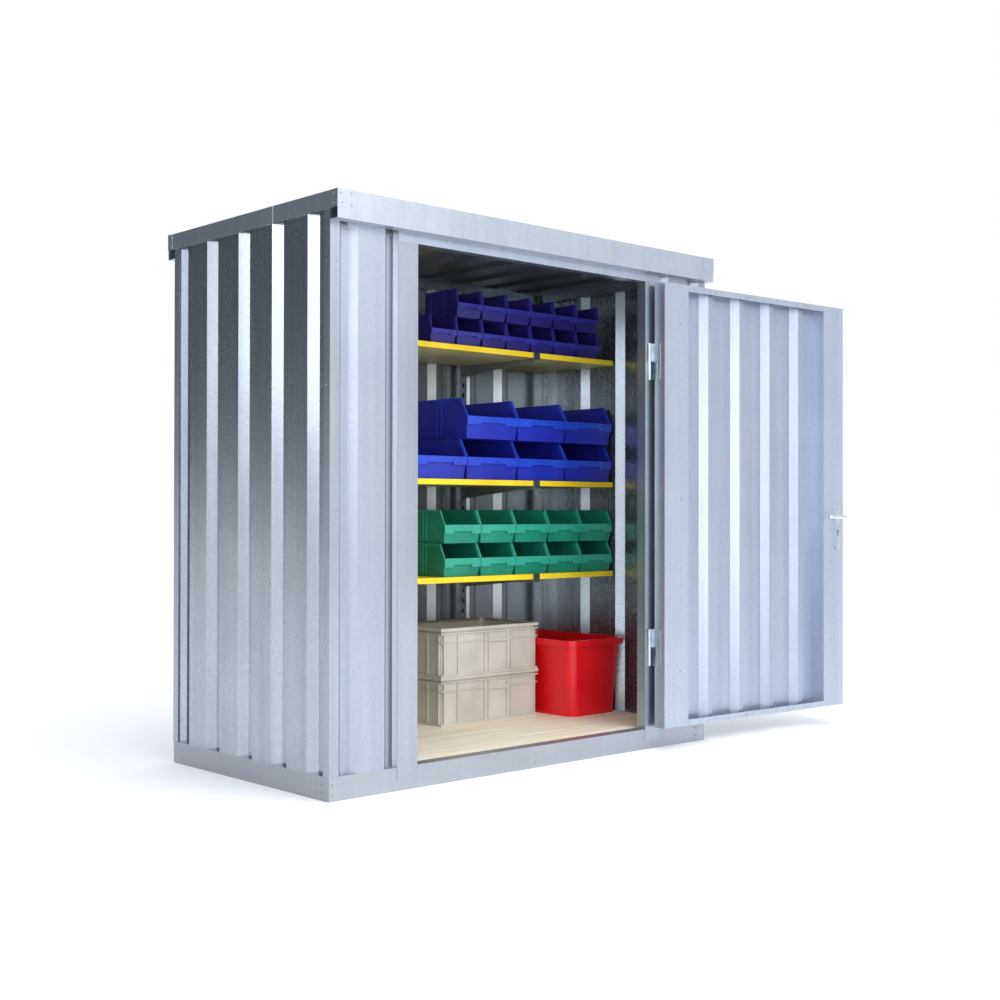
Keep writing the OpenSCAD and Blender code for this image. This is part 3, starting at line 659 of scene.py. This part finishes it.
def red_tub():
    """A tapered tub with rounded corners and a turned-down rim."""
    lo, hi = box("red_tub")
    middle = (lo + hi) / 2
    rim = Vector(((hi.x - lo.x) / 2, (hi.y - lo.y) / 2, 0))
    bm = bmesh.new()
    made = bmesh.ops.create_cube(bm, size=1.0)["verts"]
    bmesh.ops.scale(bm, vec=(2 * rim.x, 2 * rim.y, hi.z - lo.z), verts=made)
    bmesh.ops.translate(bm, vec=middle, verts=made)
    upright = [e for e in bm.edges if abs((e.verts[0].co - e.verts[1].co).normalized().z) > 0.9]
    bmesh.ops.bevel(bm, geom=upright, offset=0.050, offset_type="OFFSET", affect="EDGES",
                    segments=8, profile=0.5, material=-1)
    bmesh.ops.delete(bm, geom=[f for f in bm.faces if f.normal.z > 0.9], context="FACES_ONLY")
    lip, base = 0.016, 0.040
    for v in bm.verts:
        away = Vector((math.copysign(1, v.co.x - middle.x), math.copysign(1, v.co.y - middle.y)))
        pull = lip if v.co.z > middle.z else base
        v.co.x -= away.x * pull
        v.co.y -= away.y * pull * 0.9
    edge = [e for e in bm.edges if e.is_boundary]
    for out, drop in ((0.016, 0.0), (0.0, -0.030)):
        grown = bmesh.ops.extrude_edge_only(bm, edges=edge)["geom"]
        edge = [g for g in grown if isinstance(g, bmesh.types.BMEdge) and g.is_boundary]
        for v in {v for e in edge for v in e.verts}:
            v.co.x += math.copysign(out, v.co.x - middle.x)
            v.co.y += math.copysign(out, v.co.y - middle.y)
            v.co.z += drop
    bmesh.ops.recalc_face_normals(bm, faces=bm.faces)
    tub = piece("tub_shell", bm, red_plastic, CONTAINER, replaces=("red_tub",),
                smooth=True)
    bevelled(walled(tub, 0.003), 0.003, 3, 35)


grey_crates()
red_tub()


# ---- screws, rivets and bolts of the body ----

def body_fasteners():
    bm = bmesh.new()
    front, back, left, right = (0, -1, 0), (0, 1, 0), (-1, 0, 0), (1, 0, 0)
    half, deep = -LEFT_X, BACK_Y
    for x in (-half + 0.012, -half + 0.065, -0.02, half - 0.065, half - 0.055):
        for z in (0.025, 0.060):
            head(bm, (x, FRONT_Y, z), front, 0.005, 0.0022)
            head(bm, (x, BACK_Y, z), back, 0.005, 0.0022)
    for y in (-deep + 0.045, -deep + 0.075, deep - 0.075, deep - 0.045):
        for z in (0.030, 0.058):
            head(bm, (-half, y, z), left, 0.005, 0.0022)
            head(bm, (half, y, z), right, 0.005, 0.0022)
    cap_lo, cap_hi = box("roof_corner_caps")
    for sx in (-1, 1):
        for x, z in ((0.014, 0.016), (0.062, 0.012), (0.062, 0.055), (0.020, 0.050)):
            at = sx * (cap_hi.x - x)
            head(bm, (at, cap_lo.y, ROOF_TOP - z), front, 0.0042, 0.0016)
            head(bm, (at, cap_hi.y, ROOF_TOP - z), back, 0.0042, 0.0016)
        for z in (0.015, 0.050):
            for sy in (-1, 1):
                head(bm, (sx * cap_hi.x, sy * (cap_hi.y - 0.025), ROOF_TOP - z),
                     (sx, 0, 0), 0.0042, 0.0016)
    for sx in (-1, 1):
        for x in (0.282, 0.300):
            head(bm, (sx * (half - x), FRONT_Y + 0.028, 2.085), front, 0.006, 0.004, 6)
        for z in (0.16, 0.60, 1.05, 1.50, 1.95):
            head(bm, (sx * (half - 0.030), FRONT_Y - 0.002, z), front, 0.0035, 0.0014)
            head(bm, (sx * (half - 0.030), BACK_Y + 0.002, z), back, 0.0035, 0.0014)
            head(bm, (sx * (half + 0.002), FRONT_Y + 0.020, z), (sx, 0, 0), 0.0035, 0.0014)
            head(bm, (sx * (half + 0.002), BACK_Y - 0.020, z), (sx, 0, 0), 0.0035, 0.0014)
    piece("body_screws_and_rivets", bm, screw_zinc, CONTAINER)


def lintel_folds():
    """The rolled lower edge of the lintel."""
    bm = bmesh.new()
    block(bm, (LINTEL_LO.x + 0.002, LINTEL_LO.y - 0.0015, LINTEL_LO.z),
          (LINTEL_HI.x - 0.002, LINTEL_LO.y, LINTEL_LO.z + 0.027), 0.0006)
    # The strip takes the lighter door-frame zinc: painted light along the lintel's lower edge.
    piece("lintel_edge_strip", bm, stile_zinc, CONTAINER)


def post_welds():
    """Spot welds that hold the door posts' feet to the sill."""
    bm = bmesh.new()
    for sx in (-1, 1):
        for x in (-POST_HI.x + 0.012, -POST_LO.x - 0.014):
            for z in (0.052, 0.075):
                head(bm, (sx * x, POST_LO.y, z), (0, -1, 0), 0.005, 0.0008)
    piece("post_foot_welds", bm, sill_zinc, CONTAINER)


def fascia_seams():
    """Lapped joints in the side fascias."""
    bm = bmesh.new()
    y = FRONT_Y + 0.366
    for sx in (-1, 1):
        outer = SIDE_LO.x - 0.0008
        block(bm, (sx * outer - 0.0008, y, SIDE_LO.z), (sx * outer + 0.0008, y + 0.05, SIDE_HI.z))
    piece("fascia_lap_plates", bm, fascia_zinc, CONTAINER)


body_fasteners()
lintel_folds()
post_welds()
fascia_seams()


# ---- door fittings, drawn on the closed door and turned with it ----

def door_point(from_hinge, out, z):
    """A point on the closed door, from its hinge edge, its outer face and the ground."""
    return Vector((DOOR_X - from_hinge, FRONT_Y + out, z))


def door_fasteners():
    bm = bmesh.new()
    inward = (0, 1, 0)
    top, bottom = DOOR_HI.z - 0.016, DOOR_LO.z + 0.016
    for i in range(RIB_COUNT):
        for z in (top, bottom):
            head(bm, door_point(RIB_FIRST + i * RIB_PITCH, DOOR_T, z), inward, 0.0052, 0.0018)
    for z in (0.34, 0.72, 1.10, 1.48, 1.88):
        head(bm, door_point(0.10, DOOR_T, z), inward, 0.0060, 0.0020)
    for z in (0.42, 0.80, 1.14, 1.52):
        head(bm, door_point(DOOR_W - 0.10, DOOR_T, z), inward, 0.0060, 0.0020)
    for z in (0.447, 1.706):
        for dz in (-0.035, 0.0, 0.035):
            head(bm, door_point(-0.002, 0.020, z + dz), (1, 0, 0), 0.004, 0.0016)
    piece("door_rivets", bm, screw_zinc, DOOR, turned=True)


def door_hems():
    """Folded hems along the door's top and bottom rails."""
    bm = bmesh.new()
    for z0, z1 in ((DOOR_HI.z - 0.012, DOOR_HI.z - 0.0005), (DOOR_LO.z + 0.0005, DOOR_LO.z + 0.010)):
        a, b = door_point(DOOR_W - 0.002, DOOR_T, z0), door_point(0.002, DOOR_T, z1)
        block(bm, (a.x, a.y, a.z), (b.x, b.y + 0.0014, b.z), 0.0005)
    piece("door_rail_hems", bm, fascia_zinc, DOOR, turned=True)


def lock_details():
    """The lock's face plate and bolt on the door's free edge."""
    bm = bmesh.new()
    edge = door_point(DOOR_W, 0.018, 0.90)
    block(bm, (edge.x - 0.002, edge.y, edge.z), (edge.x, edge.y + 0.024, edge.z + 0.235), 0.0006)
    block(bm, (edge.x - 0.003, edge.y + 0.006, edge.z + 0.13),
          (edge.x - 0.001, edge.y + 0.018, edge.z + 0.165), 0.001)
    piece("lock_face_plate", bm, bright_zinc, DOOR, turned=True)


door_fasteners()
door_hems()
lock_details()


# ---- shelf fittings ----

def shelf_clips():
    """Clips that hook over the front edge of each shelf at its brackets."""
    bm = bmesh.new()
    for shelf in SHELVES:
        lo, hi = box(shelf)
        for x in (-0.495, 0.495):
            block(bm, (x - 0.020, lo.y - 0.005, lo.z - 0.012), (x + 0.020, lo.y - 0.0041, hi.z + 0.002),
                  0.0004)
            block(bm, (x - 0.020, lo.y - 0.005, hi.z), (x + 0.020, lo.y + 0.002, hi.z + 0.0016),
                  0.0004)
    piece("shelf_clips", bm, screw_zinc, CONTAINER)


shelf_clips()
